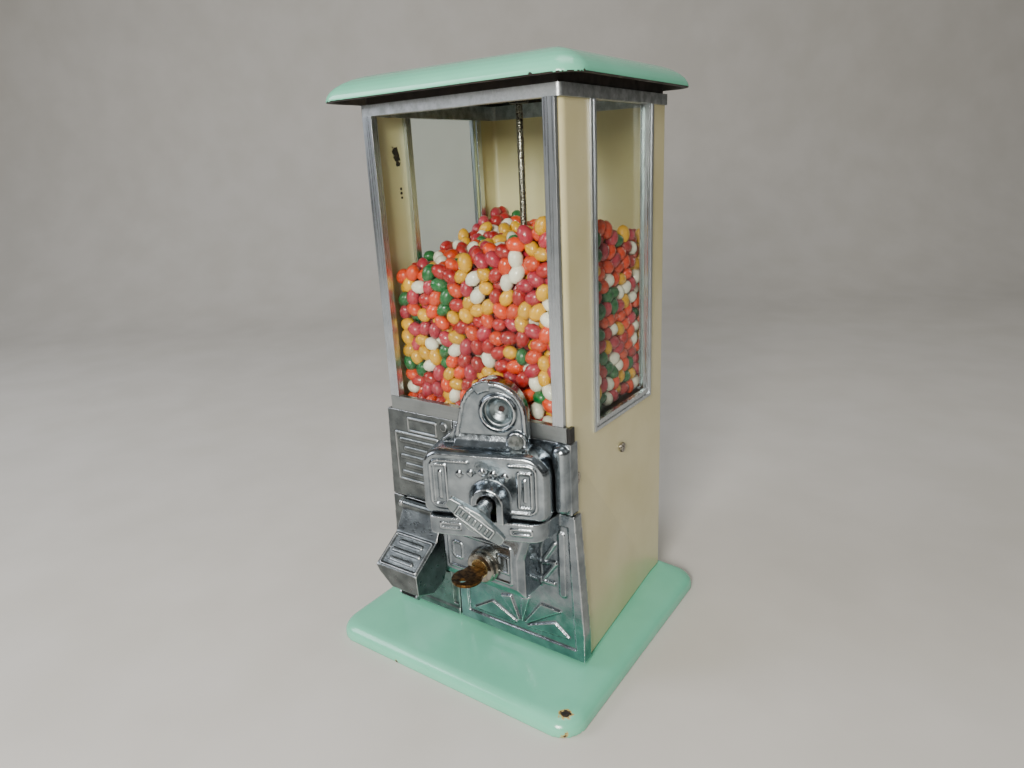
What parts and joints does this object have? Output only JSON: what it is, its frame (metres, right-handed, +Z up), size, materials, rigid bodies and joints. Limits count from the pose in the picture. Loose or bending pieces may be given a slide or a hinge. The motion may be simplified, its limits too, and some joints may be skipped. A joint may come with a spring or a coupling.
{
  "type": "gumball vending machine",
  "caption": "Counter-top coin-operated sweet vendor with windowed hopper, lift-off lid, turning handle, measuring wheel, chute flap and locked coin door",
  "frame": {"origin": "foot of the body's centre axis, the line of the lid's rod, on the plane the base stands on", "axes": "+Z up; -Y out of the front with the coin mechanism; +X to the right of someone facing the front"},
  "size_m": [0.212, 0.2197, 0.408],
  "materials": {
    "mint_enamel": "satin enamel, chipped at the edges",
    "cream_enamel": "satin enamel",
    "black_enamel": "gloss",
    "cast_aluminium": "cast and buffed",
    "dull_casting": "cast, darkened",
    "trim_aluminium": "satin",
    "zinc": "cast, worn smooth",
    "nickel": "polished, a little worn",
    "bright_steel": "ground",
    "dark_steel": "blackened",
    "rusty_steel": "rusted",
    "galvanised": "zinc plated sheet",
    "brass": "machined",
    "bronze_key": "darkened by handling",
    "glass": "clear",
    "candy": "sugar coated sweets"
  },
  "bodies": {
    "body": {"base_pan": "mint_enamel", "base_bolts": "dark_steel", "body_shell": "cream_enamel", "side_screws": "rusty_steel", "top_collar": "trim_aluminium", "rod_bridge": "galvanised", "glass_front": "glass", "glass_left": "glass", "glass_right": "glass", "glass_channels": "trim_aluminium", "window_trim_left": "trim_aluminium", "window_trim_right": "trim_aluminium", "front_trim_left": "trim_aluminium", "front_trim_right": "trim_aluminium", "front_sill": "trim_aluminium", "corner_block": "black_enamel", "left_plate": "dull_casting", "chute_plate": "dull_casting", "flange_screws": "rusty_steel", "flap_pin": "bright_steel", "chute_tube": "galvanised", "mech_frame": "cast_aluminium", "mech_cover": "cast_aluminium", "cover_screw": "nickel", "coin_cup": "zinc", "coin_channel": "galvanised", "shaft_bush": "brass", "shaft_hanger": "galvanised", "return_spring": "dark_steel", "hopper_floor": "trim_aluminium", "wheel_bush": "brass", "cut_off_plate": "trim_aluminium", "candy_fill": "candy", "hinge_ears": "galvanised", "door_pins": "bright_steel", "lock_strike": "galvanised", "coin_box": "galvanised"},
    "lid": {"lid": "mint_enamel", "lid_bracket": "galvanised", "lid_rod": "rusty_steel", "rod_nut": "dark_steel"},
    "latch": {"rod_latch": "brass"},
    "handle": {"lever": "zinc", "drive_shaft": "bright_steel", "coin_carrier": "brass", "pinion": "brass", "shaft_nut": "dark_steel"},
    "wheel": {"measuring_wheel": "trim_aluminium", "crown_gear": "brass"},
    "flap": {"chute_flap": "dull_casting"},
    "door": {"coin_door": "cast_aluminium", "lock_barrel": "nickel", "lock_nut": "brass", "coin_guide": "galvanised"},
    "lock": {"lock_plug": "brass", "lock_cam": "galvanised", "cam_screw": "dark_steel", "key": "bronze_key"}
  },
  "joints": [
    {"name": "lid_lift", "type": "slide", "parent": "body", "child": "lid", "axis": [0, 0, 1], "range_m": [0, 0.34]},
    {"name": "rod_latch_slide", "type": "slide", "parent": "body", "child": "latch", "axis": [1, 0, 0], "range_m": [0, 0.008]},
    {"name": "handle_turn", "type": "hinge", "parent": "body", "child": "handle", "pos_m": [0, 0, 0.139], "axis": [-0.314, 0.9494, 0], "range_deg": [0, 90], "stiffness_Nm_per_rad": 0.08, "springref_deg": -28.65},
    {"name": "wheel_turn", "type": "hinge", "parent": "body", "child": "wheel", "pos_m": [0, 0, 0.16], "axis": [0, 0, 1], "range_deg": [0, 45]},
    {"name": "flap_swing", "type": "hinge", "parent": "body", "child": "flap", "pos_m": [-0.0475, -0.0786, 0.101], "axis": [-1, 0, 0], "range_deg": [0, 50]},
    {"name": "door_open", "type": "hinge", "parent": "body", "child": "door", "pos_m": [0.02, -0.069, 0.02], "axis": [1, 0, 0], "range_deg": [0, 45]},
    {"name": "lock_turn", "type": "hinge", "parent": "door", "child": "lock", "pos_m": [0.0225, -0.097, 0.086], "axis": [0, 1, 0], "range_deg": [0, 90]}
  ],
  "couplings": [
    {"joint": "wheel_turn", "follows": "handle_turn", "ratio": 0.5}
  ]
}
